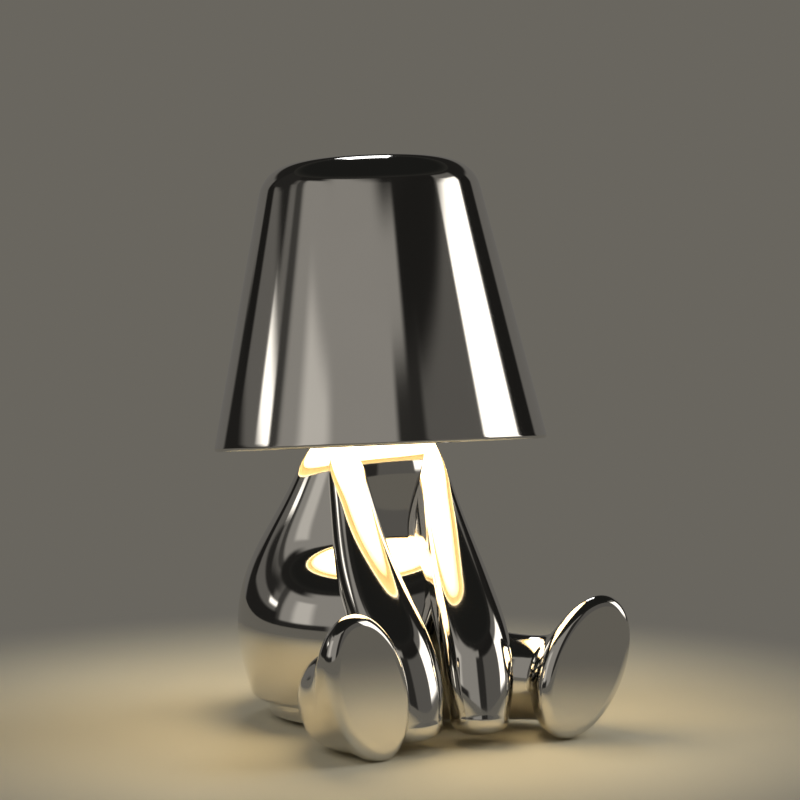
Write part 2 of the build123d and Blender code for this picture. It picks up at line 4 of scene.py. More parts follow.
import bmesh
import bpy
import numpy as np
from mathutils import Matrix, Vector


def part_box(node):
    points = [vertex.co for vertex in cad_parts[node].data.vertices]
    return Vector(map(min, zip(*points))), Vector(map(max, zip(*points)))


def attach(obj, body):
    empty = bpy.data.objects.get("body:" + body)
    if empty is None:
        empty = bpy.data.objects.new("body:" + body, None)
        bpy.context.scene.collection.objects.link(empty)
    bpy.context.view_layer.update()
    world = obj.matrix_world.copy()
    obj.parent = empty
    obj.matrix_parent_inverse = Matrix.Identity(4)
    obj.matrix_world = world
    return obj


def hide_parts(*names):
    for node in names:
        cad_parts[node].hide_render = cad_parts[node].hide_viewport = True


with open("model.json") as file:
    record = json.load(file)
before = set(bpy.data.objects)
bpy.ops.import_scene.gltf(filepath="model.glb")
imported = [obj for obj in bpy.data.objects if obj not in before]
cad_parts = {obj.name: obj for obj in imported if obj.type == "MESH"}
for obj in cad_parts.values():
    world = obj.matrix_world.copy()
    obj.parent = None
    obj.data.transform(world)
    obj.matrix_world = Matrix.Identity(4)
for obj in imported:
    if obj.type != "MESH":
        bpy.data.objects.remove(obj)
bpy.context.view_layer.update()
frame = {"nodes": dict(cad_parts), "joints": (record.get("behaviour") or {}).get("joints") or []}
mm = 0.001
sharpAngle = math.radians(38.0)   # edges that bend more than this are shaded sharp
weldGap = 1e-7                    # metres; points nearer than this become one, which closes the poles
print("frame loaded with", len(frame["nodes"]), "CAD nodes")


# Curves and outlines, all in millimetres

def splineRows(rows, count):
    # natural cubic spline through the rows, its parameter the distance walked in the first three columns
    rows = np.asarray(rows, float)
    gap = np.linalg.norm(np.diff(rows[:, :3], axis=0), axis=1)
    knot = np.concatenate([[0.0], np.cumsum(gap)])
    slope = np.diff(rows, axis=0) / gap[:, None]
    inner = np.arange(1, len(rows) - 1)
    system = np.eye(len(rows))
    system[inner, inner - 1] = gap[:-1]
    system[inner, inner] = 2 * (gap[:-1] + gap[1:])
    system[inner, inner + 1] = gap[1:]
    pull = np.zeros_like(rows)
    pull[1:-1] = 6 * np.diff(slope, axis=0)
    bend = np.linalg.solve(system, pull)
    walk = np.linspace(0, knot[-1], count)
    span = np.clip(np.searchsorted(knot, walk) - 1, 0, len(gap) - 1)
    after = ((walk - knot[span]) / gap[span])[:, None]
    before = 1 - after
    weight = (gap[span] ** 2 / 6)[:, None]
    bent = (before ** 3 - before) * bend[span] + (after ** 3 - after) * bend[span + 1]
    return before * rows[span] + after * rows[span + 1] + weight * bent


def unit(vectors):
    return vectors / np.linalg.norm(vectors, axis=-1, keepdims=True)


def roundedOutline(corners, radii, steps=12):
    # a broken line with an arc of the given radius, tangent to both sides, in place of each corner
    corners = np.asarray(corners, float)
    stretches = []
    for i, radius in enumerate(radii):
        here = corners[i]
        if radius == 0:
            stretches.append(here[None])
            continue
        toBefore = unit(corners[i - 1] - here)
        toAfter = unit(corners[(i + 1) % len(corners)] - here)
        half = math.acos(toBefore @ toAfter) / 2
        middle = here + unit(toBefore + toAfter) * radius / math.sin(half)
        start = here + toBefore * radius / math.tan(half) - middle
        end = here + toAfter * radius / math.tan(half) - middle
        turn = math.pi - 2 * half
        share = np.linspace(0, 1, steps)[:, None]
        arc = (np.sin((1 - share) * turn) * start + np.sin(share * turn) * end) / math.sin(turn)
        stretches.append(middle + arc)
    return np.concatenate(stretches)


def finely(outline, step):
    # the same broken line with more points on it, so that long straight stretches shade evenly
    walked = np.linalg.norm(np.diff(outline, axis=0), axis=1)
    corner = np.concatenate([[0.0], np.cumsum(walked)])
    extra = np.arange(step, corner[-1], step)
    clear = np.abs(extra[:, None] - corner[None]).min(1) > step / 4
    place = np.sort(np.concatenate([corner, extra[clear]]))
    return np.stack([np.interp(place, corner, column) for column in outline.T], -1)


def lathe(outline, around):
    # point(i, t) = (r_i cos t, r_i sin t, z_i) for each outline point (r_i, z_i)
    turn = np.linspace(0, 2 * np.pi, around, endpoint=False)
    radius, height = outline[:, :1], outline[:, 1:]
    return np.stack([radius * np.cos(turn), radius * np.sin(turn), height + 0 * turn], -1)


def ellipseTube(line, sideways, across, halves, around):
    # point(i, t) = line_i + a_i cos t sideways_i + b_i sin t across_i
    turn = np.linspace(0, 2 * np.pi, around, endpoint=False)[None, :, None]
    wide = halves[:, 0, None, None] * np.cos(turn) * sideways[:, None]
    deep = halves[:, 1, None, None] * np.sin(turn) * across[:, None]
    return line[:, None] + wide + deep


# Meshes

def surface(name, points, loop=False, lining=None):
    # points[i, j] is place j of ring i, in millimetres; with loop the last ring meets the first
    # lining, where given, is kept for the finish: one value for each ring
    rings, places = points.shape[:2]
    ringA = np.arange(rings if loop else rings - 1)[:, None]
    ringB = (ringA + 1) % rings
    placeA = np.arange(places)[None]
    placeB = (placeA + 1) % places
    corners = [
        ringA * places + placeA, ringA * places + placeB,
        ringB * places + placeB, ringB * places + placeA,
    ]
    quads = np.stack(corners, -1).reshape(-1, 4)
    mesh = bpy.data.meshes.new(name)
    mesh.from_pydata((points.reshape(-1, 3) * mm).tolist(), [], quads.tolist())
    if lining is not None:
        layer = mesh.attributes.new("lining", "FLOAT", "POINT")
        layer.data.foreach_set("value", np.repeat(lining, places).astype(np.float32))
    work = bmesh.new()
    work.from_mesh(mesh)
    bmesh.ops.remove_doubles(work, verts=work.verts, dist=weldGap)
    if work.calc_volume(signed=True) < 0:
        bmesh.ops.reverse_faces(work, faces=work.faces)
    work.to_mesh(mesh)
    work.free()
    mesh.shade_smooth()
    mesh.set_sharp_from_angle(angle=sharpAngle)
    made = bpy.data.objects.new(name, mesh)
    bpy.context.scene.collection.objects.link(made)
    return made


def cutAway(piece, cutter):
    cut = piece.modifiers.new("cut", "BOOLEAN")
    cut.operation = "DIFFERENCE"
    cut.solver = "EXACT"
    cut.object = cutter
    ready = piece.evaluated_get(bpy.context.evaluated_depsgraph_get())
    mesh = bpy.data.meshes.new_from_object(ready)
    piece.modifiers.clear()
    piece.data = mesh
    bpy.data.objects.remove(cutter)
    mesh.set_sharp_from_angle(angle=sharpAngle)


def dress(piece, body, slotName, finish, *nodes):
    piece.data.materials.clear()
    piece.data.materials.append(finish)
    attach(piece, body)
    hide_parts(*nodes)
    return piece


# Finishes

class Wire:
    # one value in a node tree; + - * with numbers or other wires add Math nodes
    def __init__(self, tree, socket):
        self.tree = tree
        self.socket = socket

    def math(self, operation, first, second):
        return self.tree.add("ShaderNodeMath", {"operation": operation}, {0: first, 1: second})[0]

    def __add__(self, other):
        return self.math("ADD", self, other)

    def __radd__(self, other):
        return self.math("ADD", other, self)

    def __rsub__(self, other):
        return self.math("SUBTRACT", other, self)

    def __mul__(self, other):
        return self.math("MULTIPLY", self, other)

    def __rmul__(self, other):
        return self.math("MULTIPLY", other, self)


class NodeTree:
    def __init__(self, owner):
        owner.use_nodes = True
        self.nodes = owner.node_tree.nodes
        self.links = owner.node_tree.links
        self.nodes.clear()

    def add(self, kind, settings, sockets):
        made = self.nodes.new(kind)
        for key, value in settings.items():
            setattr(made, key, value)
        for key, value in sockets.items():
            if isinstance(value, Wire):
                self.links.new(value.socket, made.inputs[key])
            else:
                made.inputs[key].default_value = value
        return [Wire(self, output) for output in made.outputs]

    def objectPlace(self):
        return self.add("ShaderNodeTexCoord", {}, {})[3]

    def noise(self, place, size, detail=2.0):
        # size is the width of a patch in millimetres
        sockets = {"Vector": place, "Scale": 1 / (size * mm), "Detail": detail}
        return self.add("ShaderNodeTexNoise", {}, sockets)[0]

    def vectorMath(self, operation, *values):
        outputs = self.add("ShaderNodeVectorMath", {"operation": operation}, dict(enumerate(values)))
        return outputs[1] if operation == "LENGTH" else outputs[0]

    def smoothShare(self, value, low, high):
        # 0 up to low, 1 from high on, smooth between them
        sockets = {0: value, 1: low, 2: high, 3: 0.0, 4: 1.0}
        return self.add("ShaderNodeMapRange", {"interpolation_type": "SMOOTHSTEP"}, sockets)[0]

    def blend(self, share, first, second):
        ends = [end if isinstance(end, Wire) else (*end, 1) for end in (first, second)]
        return self.add("ShaderNodeMix", {"data_type": "RGBA"}, {0: share, 6: ends[0], 7: ends[1]})[2]

    def bump(self, height, depth, strength):
        # depth is the height of the relief in millimetres
        sockets = {"Strength": strength, "Distance": depth * mm, "Height": height}
        return self.add("ShaderNodeBump", {}, sockets)[0]

    def principled(self, **sockets):
        named = {key.replace("_", " "): value for key, value in sockets.items()}
        shader = self.add("ShaderNodeBsdfPrincipled", {}, named)[0]
        self.add("ShaderNodeOutputMaterial", {}, {"Surface": shader})


def newFinish(name):
    material = bpy.data.materials.new(name)
    return material, NodeTree(material)


chromePlate = {
    "bright": (0.80, 0.785, 0.755),
    "dim": (0.76, 0.745, 0.715),
    "patch": 22.0,              # mm across a patch of slightly hazier plating
    "roughness": (0.045, 0.075),
    "peel": 2.2,                # mm between the soft waves of the polished casting
    "peelDepth": 0.004,
    "peelStrength": 0.15,
}
shadeLining = {
    "colour": (0.74, 0.60, 0.34),   # warm cream lacquer inside the shade
    "roughness": 0.6,
    "low": 0.35,                    # mm above the mouth where it starts
}


def chromeFinish(name, lined=False):
    material, tree = newFinish(name)
    place = tree.objectPlace()
    haze = tree.noise(place, chromePlate["patch"], detail=4.0)
    peel = tree.noise(place, chromePlate["peel"], detail=1.0)
    low, high = chromePlate["roughness"]
    colour = tree.blend(haze, chromePlate["bright"], chromePlate["dim"])
    roughness = low + (high - low) * haze
    metallic = 1.0
    if lined:
        lining = tree.add("ShaderNodeAttribute", {"attribute_name": "lining"}, {})[2]
        colour = tree.blend(lining, colour, shadeLining["colour"])
        roughness = roughness + lining * (shadeLining["roughness"] - roughness)
        metallic = 1.0 - lining
    tree.principled(
        Base_Color=colour,
        Metallic=metallic,
        Roughness=roughness,
        Normal=tree.bump(peel, chromePlate["peelDepth"], chromePlate["peelStrength"]),
    )
    return material


opalPanel = {
    "white": (0.95, 0.92, 0.86),
    "core": (1.0, 0.80, 0.50),      # warm white under the light chips
    "edge": (0.22, 0.15, 0.06),     # amber where the light grazes the shade
    "fade": (38.0, 52.0),           # mm from the shade's axis, from core to edge
    "strength": 5.5,
    "grain": 1.2,
    "roughness": (0.38, 0.50),
    "greyed": 0.97,                 # share of the white that is left in the darker grains
}


def opalFinish(name):
    # distance from the shade's axis = |(place - mouth) x axis|
    material, tree = newFinish(name)
    place = tree.objectPlace()
    grain = tree.noise(place, opalPanel["grain"])
    offset = tree.vectorMath("SUBTRACT", place, tuple(mouthMiddle * mm))
    distance = tree.vectorMath("LENGTH", tree.vectorMath("CROSS_PRODUCT", offset, tuple(shadeAxis)))
    near, far = opalPanel["fade"]
    fade = tree.smoothShare(distance, near * mm, far * mm)
    low, high = opalPanel["roughness"]
    greyed = tuple(opalPanel["greyed"] * c for c in opalPanel["white"])
    tree.principled(
        Base_Color=tree.blend(grain, opalPanel["white"], greyed),
        Roughness=low + (high - low) * grain,
        Emission_Color=tree.blend(fade, opalPanel["core"], opalPanel["edge"]),
        Emission_Strength=opalPanel["strength"],
    )
    return material


reliefStrength = 0.4


def plainFinish(name, first, second, patch, roughness, metallic, relief, reliefSize):
    # two close colours in patches, and a fine relief that the roughness follows
    material, tree = newFinish(name)
    place = tree.objectPlace()
    cloud = tree.noise(place, patch, detail=3.0)
    fine = tree.noise(place, reliefSize)
    low, high = roughness
    tree.principled(
        Base_Color=tree.blend(cloud, first, second),
        Metallic=metallic,
        Roughness=low + (high - low) * fine,
        Normal=tree.bump(fine, relief, reliefStrength),
    )
    return material


# two colours, mm across a patch, roughness from and to, metallic, relief in mm and mm across it
plainFinishes = {
    "whiteMoulding": ((0.84, 0.84, 0.82), (0.80, 0.80, 0.77), 6.0, (0.35, 0.5), 0.0, 0.02, 0.6),
    "blackMoulding": ((0.022, 0.022, 0.024), (0.034, 0.034, 0.036), 3.0, (0.4, 0.6), 0.0, 0.03, 0.5),
    "softRubber": ((0.03, 0.03, 0.03), (0.045, 0.044, 0.042), 4.0, (0.7, 0.9), 0.0, 0.05, 0.7),
    "zincSteel": ((0.60, 0.60, 0.62), (0.52, 0.53, 0.55), 2.5, (0.22, 0.4), 1.0, 0.01, 0.4),
    "turnedBrass": ((0.74, 0.56, 0.27), (0.66, 0.49, 0.22), 3.0, (0.2, 0.35), 1.0, 0.01, 0.4),
    "satinAluminium": ((0.74, 0.74, 0.76), (0.68, 0.68, 0.70), 5.0, (0.3, 0.45), 1.0, 0.01, 0.3),
    "greenBoard": ((0.03, 0.22, 0.09), (0.05, 0.30, 0.13), 1.4, (0.3, 0.45), 0.0, 0.03, 0.8),
    "whiteBoard": ((0.86, 0.86, 0.84), (0.80, 0.80, 0.78), 1.6, (0.35, 0.5), 0.0, 0.02, 0.8),
    "phosphor": ((0.90, 0.74, 0.26), (0.95, 0.82, 0.36), 0.8, (0.3, 0.45), 0.0, 0.02, 0.3),
    "shrinkWrap": ((0.06, 0.20, 0.42), (0.08, 0.24, 0.48), 8.0, (0.25, 0.38), 0.0, 0.02, 2.0),
    "wireSleeve": ((0.55, 0.03, 0.03), (0.62, 0.05, 0.04), 2.0, (0.35, 0.5), 0.0, 0.01, 0.5),
}
chrome = chromeFinish("chromePlate")
linedChrome = chromeFinish("linedChrome", lined=True)
finishes = {name: plainFinish(name, *values) for name, values in plainFinishes.items()}
finishes["chrome"] = chrome
print("finishes made")

nodeFinishes = {
    "zincSteel": [
        "limb_screws", "limb_dowels", "base_screws", "cradle_screws", "board_screws", "shade_screws",
        "usb_socket", "swivel_base", "swivel_pin", "pin_nut", "retaining_clip", "carrier_nut", "swivel_head",
    ],
    "turnedBrass": ["neck_tube", "neck_nut"],
    "chrome": ["neck_collar"],
    "blackMoulding": ["base_cover", "battery_cradle", "battery_cap", "tact_switch", "friction_washers"],
    "satinAluminium": ["lamp_carrier"],
    "greenBoard": ["charge_board"],
    "whiteBoard": ["led_board"],
    "phosphor": ["led_chips"],
    "whiteMoulding": ["reflector_liner"],
    "shrinkWrap": ["battery_cell"],
    "wireSleeve": ["battery_leads", "lamp_leads"],
}
for finish, names in nodeFinishes.items():
    for name in names:
        node = frame["nodes"][name]
        node.data.materials.clear()
        node.data.materials.append(finishes[finish])


# Torso: a pear of stacked ellipses with a belly, its wall, neck hole and base recess

torso = {
    # height, half width, half depth, shift in Y
    "rings": [
        (7.0, 35.5, 34.6, 0.0),
        (24.0, 39.6, 38.6, 0.0),
        (45.0, 38.4, 31.5, 0.8),
        (58.0, 33.4, 24.5, 0.3),
        (70.0, 28.0, 19.8, -2.9),
        (79.0, 24.6, 17.2, -5.5),
        (92.0, 20.4, 14.7, -8.2),
    ],
    "crownEdge": 7.0,
    "crownRise": 14.0,
    "skirtEdge": 1.5,
    "footRadius": 30.0,
    "footZ": 1.5,
    "footEdge": 0.6,
    "wall": 3.2,
    "crownWall": 4.0,
    "neckHole": 5.1,
    "neckY": -10.5,
    "shelfHole": 20.5,
    "shelfZ": 10.0,
    "coverRecess": 26.25,
    "recessTop": 4.5,
    "along": 170,
    "edgeRings": 28,
    "around": 240,
}
belly = {"y": -7.0, "z": 32.0, "halfWidth": 39.6, "halfDepth": 32.0, "halfHeight": 31.0, "crease": 3.0}


def edgeRows(outer, level, upwards, radius, rise):
    # a quarter ellipse that turns the wall into the flat at the given level
    quarter = np.linspace(0, np.pi / 2, torso["edgeRings"])
    height = level - upwards * rise * (1 - np.sin(quarter))
    rows = np.stack([np.interp(height, outer[:, 0], column) for column in outer.T], -1)
    rows[:, 1:3] -= radius * (1 - np.cos(quarter))[:, None]
    return rows


def torsoRows():
    # rows of height, half widths and shift, up the outside and down the inside of the wall
    outer = splineRows(torso["rings"], torso["along"])
    low, high = outer[0, 0], outer[-1, 0]
    crown = edgeRows(outer, high, 1, torso["crownEdge"], torso["crownRise"])
    skirt = edgeRows(outer, low, -1, torso["skirtEdge"], torso["skirtEdge"])[::-1]
    wall = outer[(outer[:, 0] > low + torso["skirtEdge"]) & (outer[:, 0] < high - torso["crownRise"])]
    keys = ("footRadius", "footZ", "coverRecess", "shelfHole", "neckHole")
    foot, footZ, recess, shelf, hole = (torso[key] for key in keys)
    ring = roundedOutline([(recess, footZ), (foot, footZ), (foot, low)], [0, torso["footEdge"], 0], steps=8)
    under = np.stack([ring[:, 1], ring[:, 0], ring[:, 0], 0 * ring[:, 0]], -1)
    wallRow = np.array([0.0, torso["wall"], torso["wall"], 0.0])
    inside = splineRows(torso["rings"], torso["along"] // 2) - wallRow
    ceiling = high - torso["crownWall"]
    inside = inside[(inside[:, 0] > torso["shelfZ"]) & (inside[:, 0] < ceiling)][::-1]
    neck = [(high, hole, hole, torso["neckY"]), (inside[0, 0], hole, hole, torso["neckY"])]
    base = [(inside[-1, 0], shelf, shelf, 0.0), (torso["recessTop"], shelf, shelf, 0.0),
            (torso["recessTop"], recess, recess, 0.0)]
    outside = np.concatenate([under, skirt, wall, crown])
    return np.concatenate([outside, neck, inside, base]), len(outside)


def withBelly(points):
    # distance from the belly's upright axis: the soft maximum of pear p and ellipsoid q,
    # (p + q + sqrt((p - q)^2 + k^2)) / 2
    x, y, z = points[..., 0], points[..., 1] - belly["y"], points[..., 2]
    pear = np.hypot(x, y)
    swell = np.sqrt(np.clip(1 - ((z - belly["z"]) / belly["halfHeight"]) ** 2, 0, 1))
    ball = swell * pear / np.hypot(x / belly["halfWidth"], y / belly["halfDepth"])
    grown = (pear + ball + np.sqrt((pear - ball) ** 2 + (belly["crease"] * swell) ** 2)) / 2 / pear
    return np.stack([x * grown, belly["y"] + y * grown, z], -1)


def torsoSkin():
    # point(i, t) = (a_i cos t, shift_i + b_i sin t, z_i)
    rows, outside = torsoRows()
    turn = np.linspace(0, 2 * np.pi, torso["around"], endpoint=False)
    height, halfWidth, halfDepth, shift = (rows[:, k, None] for k in range(4))
    across, deep = halfWidth * np.cos(turn), shift + halfDepth * np.sin(turn)
    points = np.stack([across, deep, height + 0 * turn], -1)
    points[:outside] = withBelly(points[:outside])
    return surface("torso", points, loop=True)


# Button, its bezel and the charging slot on the lower back

backFittings = {
    "buttonZ": 27.0,
    "buttonRadius": 4.5,
    "buttonProud": 1.0,
    "buttonDish": 0.35,
    "dishShare": 0.8,
    "buttonDeep": 8.2,
    "buttonEdge": 0.4,
    "faceRings": 14,
    "bezelBore": 4.58,
    "bezelRadius": 7.8,
    "bezelSkirt": 2.4,
    "bezelEdges": (0.25, 0.5),      # rounding of its face, inside and outside
    "sleeveRadius": 6.5,
    "sleeveGap": 0.05,
    "sleeveDeep": 6.8,
    "slotZ": 14.0,
    "slotWidth": 9.4,
    "slotHeight": 3.6,
    "slotDeep": 14.0,
    "slotAround": 64,
    "cutterReach": 20.0,            # mm that the cutters stand out of the back
    "around": 96,
}


def toBack(points, faceY, z):
    # turns a lathe about Z into one about Y: its top faces the back of the lamp
    return np.stack([points[..., 0], faceY + points[..., 2], z - points[..., 1]], -1)


def backCutters(faceY):
    fit = backFittings
    reach, deep, radius = fit["cutterReach"], fit["slotDeep"], fit["sleeveRadius"]
    sleeve = np.array([(0, -deep), (radius, -deep), (radius, reach), (0, reach)])
    hole = toBack(lathe(sleeve, fit["around"]), faceY, fit["buttonZ"])
    end = fit["slotHeight"] / 2
    straight = fit["slotWidth"] / 2 - end
    turn = np.linspace(0, 2 * np.pi, fit["slotAround"], endpoint=False)
    ring = np.stack([end * np.cos(turn) + straight * np.sign(np.cos(turn)), end * np.sin(turn)], -1)
    size = np.array([0, 1, 1, 0])[:, None, None]
    depth = np.array([-deep, -deep, reach, reach])[:, None]
    flat = size * ring
    slot = np.stack([flat[..., 0], faceY + depth + 0 * flat[..., 0], fit["slotZ"] + flat[..., 1]], -1)
    return surface("buttonHole", hole), surface("slotHole", slot)


def buildBack(bodySkin):
    fit = backFittings
    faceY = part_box("button_bezel")[1].y / mm
    for cutter in backCutters(faceY):
        cutAway(bodySkin, cutter)
    bore, outer, sleeve = fit["bezelBore"], fit["bezelRadius"], fit["sleeveRadius"] - fit["sleeveGap"]
    corners = [
        (bore, 0), (outer, 0), (outer, -fit["bezelSkirt"]), (sleeve, -fit["bezelSkirt"]),
        (sleeve, -fit["sleeveDeep"]), (bore, -fit["sleeveDeep"]),
    ]
    ring = roundedOutline(corners, [*fit["bezelEdges"], 0, 0, 0, 0])
    bezel = surface("buttonBezel", toBack(lathe(ring, fit["around"]), faceY, fit["buttonZ"]), loop=True)
    dress(bezel, "figure", "chrome_plate", chrome, "button_bezel")
    radius, proud, deep = fit["buttonRadius"], fit["buttonProud"], fit["buttonDeep"]
    # dished face: lowest in the middle, rising with the square of the distance from it
    dished = radius * fit["dishShare"]
    out = np.linspace(0, dished, fit["faceRings"])
    face = np.stack([out, proud - fit["buttonDish"] * (1 - (out / dished) ** 2)], -1)
    corners = [(dished, proud), (radius, proud), (radius, -deep), (0, -deep)]
    side = roundedOutline(corners, [0, fit["buttonEdge"], 0, 0])
    outline = np.concatenate([face, side[1:]])
    button = surface("powerButton", toBack(lathe(outline, fit["around"]), faceY, fit["buttonZ"]))
    dress(button, "button", "chrome_plate", chrome, "power_button")


torsoPiece = torsoSkin()
buildBack(torsoPiece)
dress(torsoPiece, "figure", "chrome_plate", chrome, "torso_casting")
print("torso, bezel and button built")


# Arms: an ellipse carried down each arm, ending in a rounded mitten hand

arm = {
    # place on the centre line of the left arm, half width, half depth
    "rows": [
        (13.0, -12.0, 88.0, 4.8, 4.7), (14.0, -16.6, 80.0, 5.8, 5.7), (14.7, -22.6, 67.5, 7.1, 7.0),
        (15.0, -30.0, 54.0, 9.0, 8.3), (14.5, -39.2, 41.0, 10.7, 9.2), (13.2, -48.8, 28.5, 11.3, 9.5),
        (11.9, -54.2, 15.5, 10.6, 9.0), (11.3, -55.6, 8.0, 9.0, 8.5),
    ],
    "handLength": 5.6,
    "handFullness": 2.5,
    "along": 130,
    "handRings": 30,
    "around": 96,
}


def armSkin(name, side):
    rows = splineRows(arm["rows"], arm["along"])
    rows[:, 0] *= side
    heading = unit(np.gradient(rows[:, :3], axis=0))
    # hand: half widths cos^(2/p) q while it goes on by sin^(2/p) q of its length
    quarter = np.linspace(0, np.pi / 2, arm["handRings"])[1:]
    power = 2 / arm["handFullness"]
    onward = np.sin(quarter)[:, None] ** power * arm["handLength"] * heading[-1]
    narrowing = np.clip(np.cos(quarter), 0, 1)[:, None] ** power
    line = np.concatenate([rows[:1, :3], rows[:, :3], rows[-1, :3] + onward])
    halves = np.concatenate([rows[:1, 3:] * 0, rows[:, 3:], rows[-1, 3:] * narrowing])
    heading = np.concatenate([heading[:1], heading, np.repeat(heading[-1:], len(quarter), 0)])
    sideways = unit(np.array([1.0, 0, 0]) - heading * heading[:, :1])
    return surface(name, ellipseTube(line, sideways, np.cross(heading, sideways), halves, arm["around"]))


for side, name, node in ((-1, "rightArm", "right_arm"), (1, "leftArm", "left_arm")):
    dress(armSkin(name, side), "figure", "chrome_plate", chrome, node)
print("arms built")


# Legs: an oval thigh that swells into an upright foot with a flat sole

leg = {
    "hip": (12.5, -19.0, 15.3),
    "hipHalves": (13.2, 14.4),
    "kneeHalves": (10.8, 14.2),
    "soleEdge": 3.3,
    # behind the sole, height of the centre, half width, half height, share of the roll
    "footRows": [
        (20.0, 15.6, 9.6, 14.2, 0.3), (14.5, 17.2, 11.4, 16.4, 0.6), (9.0, 19.8, 13.2, 20.0, 1.0),
        (4.5, 21.5, 14.0, 22.8, 1.0), (0.0, 21.5, 14.0, 22.8, 1.0),
    ],
    "along": 170,
    "edgeRings": 16,
    "soleRings": 6,
    "soleStart": 0.985,             # size of the flat sole's first ring beside its edge
    "around": 128,
}
legPlaces = {
    "rightLeg": {"node": "right_leg", "side": -1, "sole": (-30.4, -67.18), "roll": -20.0, "turn": 12.0},
    "leftLeg": {"node": "left_leg", "side": 1, "sole": (43.2, -66.5), "roll": 26.0, "turn": 0.0},
}


def toesOf(place):
    # level direction that the sole faces
    turn = math.radians(place["turn"])
    return np.array([math.sin(turn), -math.cos(turn)])


def legRows(place):
    # rows of centre, half width, half height, roll, and the level heading of the section
    hipX, hipY, hipZ = leg["hip"]
    hip = np.array([place["side"] * hipX, hipY, hipZ])
    sole, forwards = np.array(place["sole"]), toesOf(place)
    back, ankleZ = leg["footRows"][0][:2]
    ankle = np.array([*(sole - back * forwards), ankleZ])
    thigh = unit((ankle - hip)[:2])
    knee = (hip + ankle) / 2
    rows = [(*hip, *leg["hipHalves"], 0.0, *thigh), (*knee, *leg["kneeHalves"], 0.0, *thigh)]
    for back, z, halfWidth, halfHeight, share in leg["footRows"]:
        heading = unit(thigh + forwards) if back == leg["footRows"][0][0] else forwards
        lean = math.radians(place["roll"]) * share
        rows.append((*(sole - back * forwards), z, halfWidth, halfHeight, lean, *heading))
    return np.array(rows)


def legSkin(name, place):
    rows = splineRows(legRows(place), leg["along"])
    sole, forwards = np.array(place["sole"]), toesOf(place)
    behind = (sole - rows[:, :2]) @ forwards
    rows = rows[behind > leg["soleEdge"]]
    last = rows[-1]
    edge = (sole - last[:2]) @ forwards
    # sole edge: a quarter circle, then the flat sole closing to its middle
    quarter = np.linspace(0, np.pi / 2, leg["edgeRings"])[1:]
    rim = np.repeat(last[None], len(quarter), 0)
    rim[:, :2] = sole - forwards * edge * (1 - np.sin(quarter))[:, None]
    rim[:, 3:5] -= edge * (1 - np.cos(quarter))[:, None]
    flat = np.repeat(rim[-1:], leg["soleRings"], 0)
    flat[:, 3:5] *= np.linspace(leg["soleStart"], 0, leg["soleRings"])[:, None]
    start = rows[:1].copy()
    start[:, 3:5] = 0
    rows = np.concatenate([start, rows, rim, flat])
    heading = np.concatenate([unit(rows[:, 6:8]), np.zeros((len(rows), 1))], -1)
    level = np.cross([0.0, 0, 1], heading)
    lean = rows[:, 5:6]
    upright = np.array([[0.0, 0, 1]])
    sideways = level * np.cos(lean) - upright * np.sin(lean)
    points = ellipseTube(rows[:, :3], sideways, np.cross(heading, sideways), rows[:, 3:5], leg["around"])
    # no lower than the table, and under the torso no lower than its foot ring
    underTorso = np.hypot(points[..., 0], points[..., 1]) < torso["footRadius"]
    points[..., 2] = np.maximum(points[..., 2], np.where(underTorso, torso["footZ"], 0))
    return surface(name, points)


for name, place in legPlaces.items():
    dress(legSkin(name, place), "figure", "chrome_plate", chrome, place["node"])
print("legs built")


# Shade with its diffuser, in the head's own frame: up the shade's axis from the middle of its mouth

shade = {
    "lean": 5.4,
    "rimDrop": 18.0,
    "mouthRadius": 52.3,
    "topRadius": 32.9,
    "height": 88.5,
    "corner": 11.0,
    "wall": 1.6,
    "lip": (1.0, 0.3),              # rounding of the rim, outside and inside
    "around": 256,
    "step": 1.5,
}
lamp = {
    "low": 8.0,
    "thickness": 2.0,
    "hole": 14.0,
    "edgeGap": 0.3,
    "ringHeight": 2.5,
    "ringWidth": 5.0,
    "ringGap": 0.1,
    "panelEdge": 0.4,
    "ringEdges": (0.3, 1.0),        # rounding under the ring, outside and inside
}
tiltJoint = next(j for j in frame["joints"] if j["name"] == "shade_tilt")
shadeLean = math.radians(shade["lean"])
shadeAxis = np.array([0, math.sin(shadeLean), math.cos(shadeLean)])
shadeBack = np.array([0, math.cos(shadeLean), -math.sin(shadeLean)])
mouthMiddle = np.array(tiltJoint["pos_m"]) / mm - shade["rimDrop"] * shadeAxis
taper = (shade["mouthRadius"] - shade["topRadius"]) / shade["height"]
wallAcross = shade["wall"] * math.hypot(1, taper)


def toHead(points):
    x, y, z = (points[..., k, None] for k in range(3))
    return mouthMiddle + x * np.array([1.0, 0, 0]) + y * shadeBack + z * shadeAxis


def insideRadius(height):
    return shade["mouthRadius"] - taper * height - wallAcross


def shadeSkin():
    top = shade["height"]
    ceiling = top - shade["wall"]
    corners = [
        (0, top), (shade["topRadius"], top), (shade["mouthRadius"], 0), (insideRadius(0), 0),
        (insideRadius(ceiling), ceiling), (0, ceiling),
    ]
    radii = [0, shade["corner"], *shade["lip"], shade["corner"] - shade["wall"], 0]
    outline = finely(roundedOutline(corners, radii, steps=24), shade["step"])
    pastMouth = np.arange(len(outline)) > np.argmin(outline[:, 1])
    lining = pastMouth & (outline[:, 1] > shadeLining["low"])
    return surface("lampShade", toHead(lathe(outline, shade["around"])), lining=lining)


